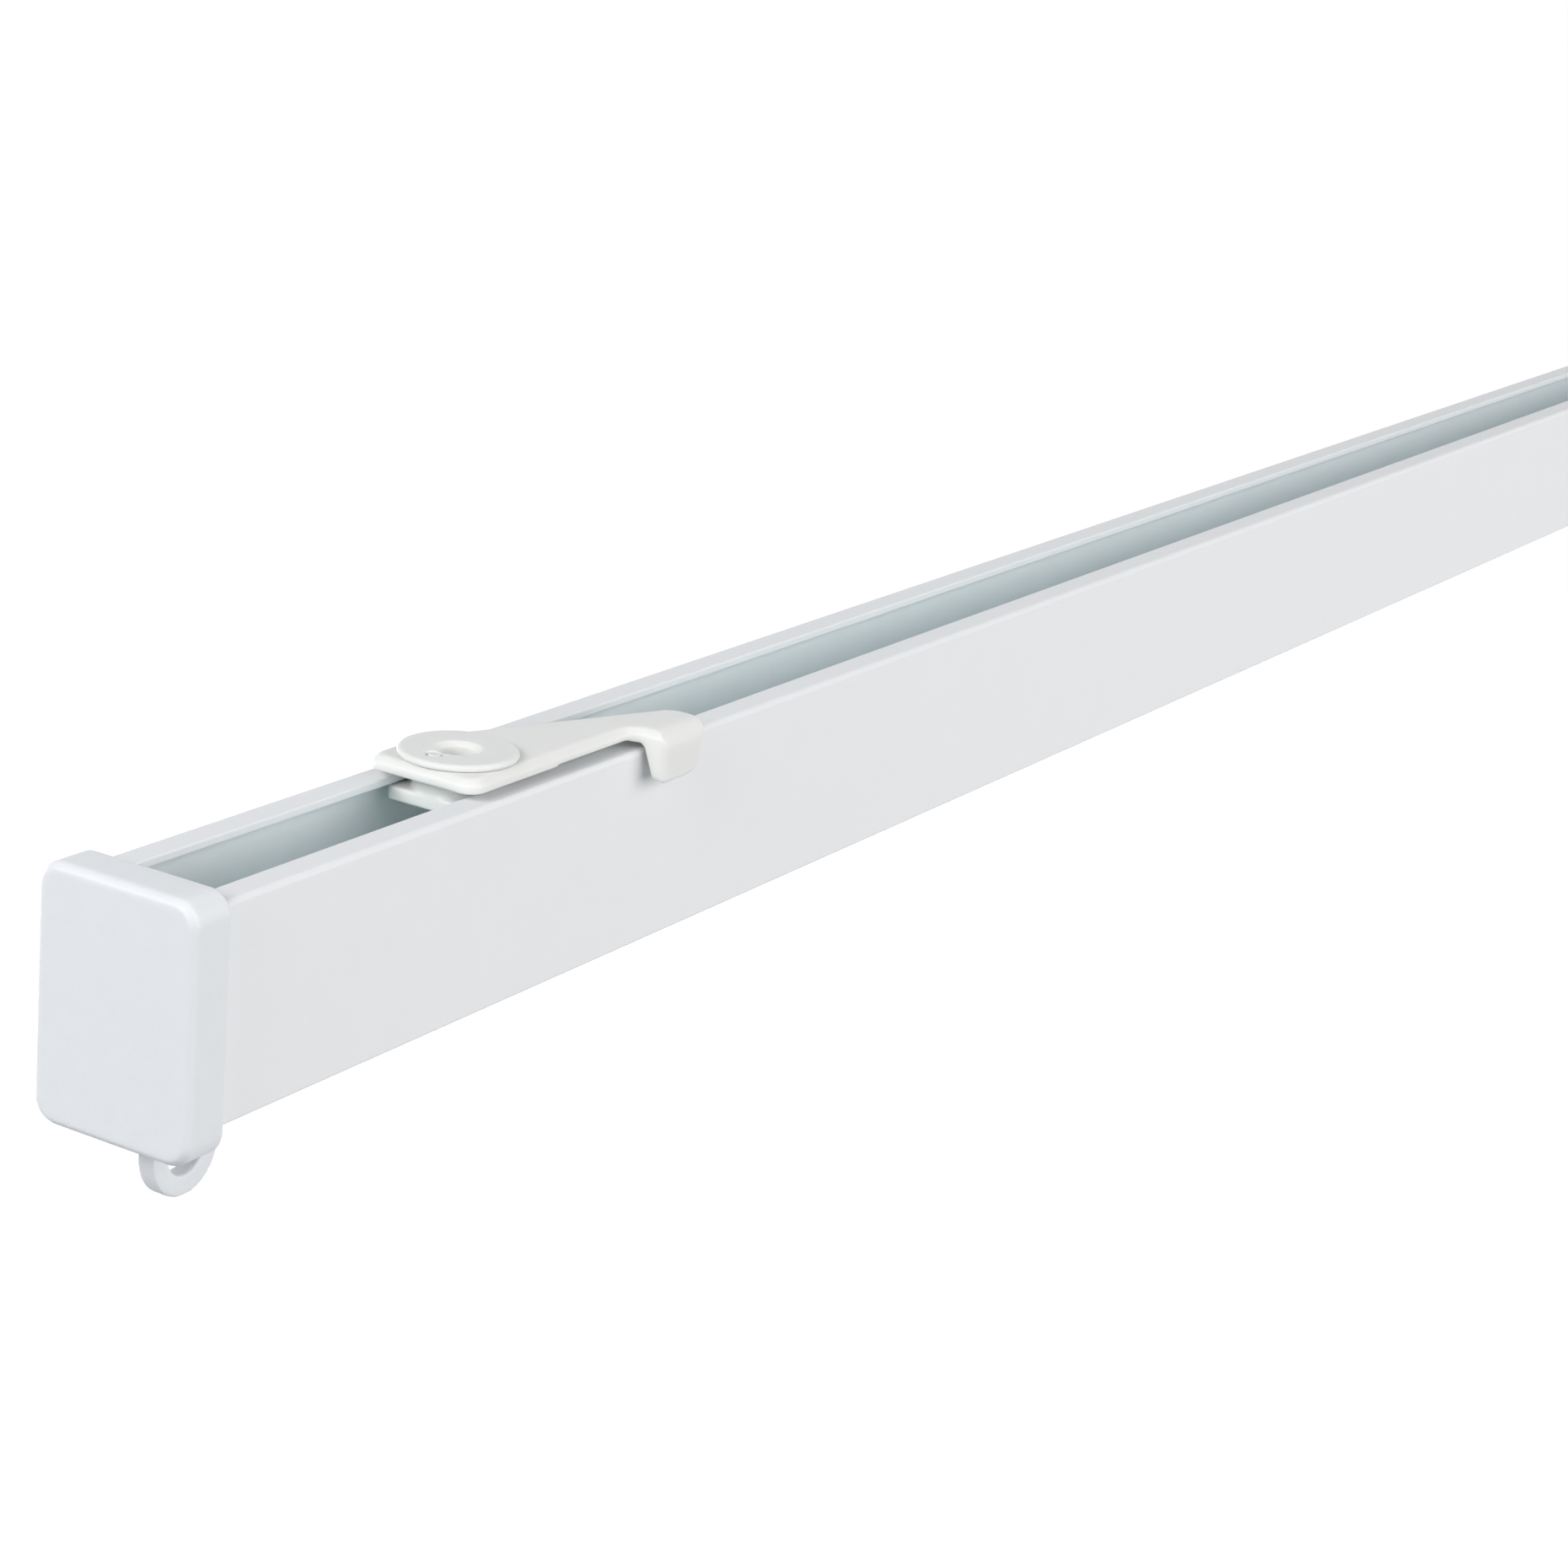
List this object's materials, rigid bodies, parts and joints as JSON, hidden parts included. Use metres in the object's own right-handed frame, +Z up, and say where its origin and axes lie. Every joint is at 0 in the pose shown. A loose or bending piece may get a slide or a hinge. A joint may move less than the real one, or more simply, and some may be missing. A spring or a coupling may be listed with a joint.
{
  "type": "ceiling curtain track",
  "caption": "White ceiling curtain track: a slotted rail with moulded end caps, sliding hook gliders and twist-lock ceiling clips with finger tabs.",
  "frame": {"origin": "on the rail's top plane at mid-length, on the middle clip's screw axis", "axes": "+X along the rail from the near cap to the far cap, +Z up to the ceiling, -Y towards the side with the finger tabs"},
  "size_m": [1.0032, 0.0229, 0.04],
  "materials": {
    "rail_white": "white powder coat, satin",
    "cap_plastic": "cool white, fine texture",
    "clip_plastic": "warm white, satin moulded",
    "glider_plastic": "white, satin moulded"
  },
  "bodies": {
    "rail": {"rail": "rail_white", "end_cap_near": "cap_plastic", "end_cap_far": "cap_plastic"},
    "bush_1": {"clip_bush_1": "clip_plastic"},
    "lever_1": {"clip_lever_1": "clip_plastic"},
    "bush_2": {"clip_bush_2": "clip_plastic"},
    "lever_2": {"clip_lever_2": "clip_plastic"},
    "bush_3": {"clip_bush_3": "clip_plastic"},
    "lever_3": {"clip_lever_3": "clip_plastic"},
    "glider_01": {"glider_01": "glider_plastic"},
    "glider_02": {"glider_02": "glider_plastic"},
    "glider_03": {"glider_03": "glider_plastic"},
    "glider_04": {"glider_04": "glider_plastic"},
    "glider_05": {"glider_05": "glider_plastic"},
    "glider_06": {"glider_06": "glider_plastic"},
    "glider_07": {"glider_07": "glider_plastic"},
    "glider_08": {"glider_08": "glider_plastic"},
    "glider_09": {"glider_09": "glider_plastic"},
    "glider_10": {"glider_10": "glider_plastic"},
    "glider_11": {"glider_11": "glider_plastic"}
  },
  "joints": [
    {"name": "clip_1_slide", "type": "slide", "parent": "rail", "child": "bush_1", "axis": [1, 0, 0], "range_m": [-0.04, 0.18]},
    {"name": "clip_1_lock", "type": "hinge", "parent": "bush_1", "child": "lever_1", "pos_m": [-0.4438, 0, 0], "axis": [0, 0, 1], "range_deg": [-90, 0]},
    {"name": "clip_2_slide", "type": "slide", "parent": "rail", "child": "bush_2", "axis": [1, 0, 0], "range_m": [-0.2, 0.2]},
    {"name": "clip_2_lock", "type": "hinge", "parent": "bush_2", "child": "lever_2", "pos_m": [0, 0, 0], "axis": [0, 0, 1], "range_deg": [-90, 0]},
    {"name": "clip_3_slide", "type": "slide", "parent": "rail", "child": "bush_3", "axis": [1, 0, 0], "range_m": [-0.19, 0.012]},
    {"name": "clip_3_lock", "type": "hinge", "parent": "bush_3", "child": "lever_3", "pos_m": [0.4438, 0, 0], "axis": [0, 0, 1], "range_deg": [-90, 0]},
    {"name": "glider_01_slide", "type": "slide", "parent": "rail", "child": "glider_01", "axis": [1, 0, 0], "range_m": [-0.505, 0.0145]},
    {"name": "glider_02_slide", "type": "slide", "parent": "rail", "child": "glider_02", "axis": [1, 0, 0], "range_m": [-0.0145, 0.0145]},
    {"name": "glider_03_slide", "type": "slide", "parent": "rail", "child": "glider_03", "axis": [1, 0, 0], "range_m": [-0.0145, 0.0145]},
    {"name": "glider_04_slide", "type": "slide", "parent": "rail", "child": "glider_04", "axis": [1, 0, 0], "range_m": [-0.0145, 0.0145]},
    {"name": "glider_05_slide", "type": "slide", "parent": "rail", "child": "glider_05", "axis": [1, 0, 0], "range_m": [-0.0145, 0.0145]},
    {"name": "glider_06_slide", "type": "slide", "parent": "rail", "child": "glider_06", "axis": [1, 0, 0], "range_m": [-0.0145, 0.0145]},
    {"name": "glider_07_slide", "type": "slide", "parent": "rail", "child": "glider_07", "axis": [1, 0, 0], "range_m": [-0.0145, 0.0145]},
    {"name": "glider_08_slide", "type": "slide", "parent": "rail", "child": "glider_08", "axis": [1, 0, 0], "range_m": [-0.0145, 0.0145]},
    {"name": "glider_09_slide", "type": "slide", "parent": "rail", "child": "glider_09", "axis": [1, 0, 0], "range_m": [-0.0145, 0.0145]},
    {"name": "glider_10_slide", "type": "slide", "parent": "rail", "child": "glider_10", "axis": [1, 0, 0], "range_m": [-0.0145, 0.0145]},
    {"name": "glider_11_slide", "type": "slide", "parent": "rail", "child": "glider_11", "axis": [1, 0, 0], "range_m": [-0.0145, 0.028]}
  ]
}
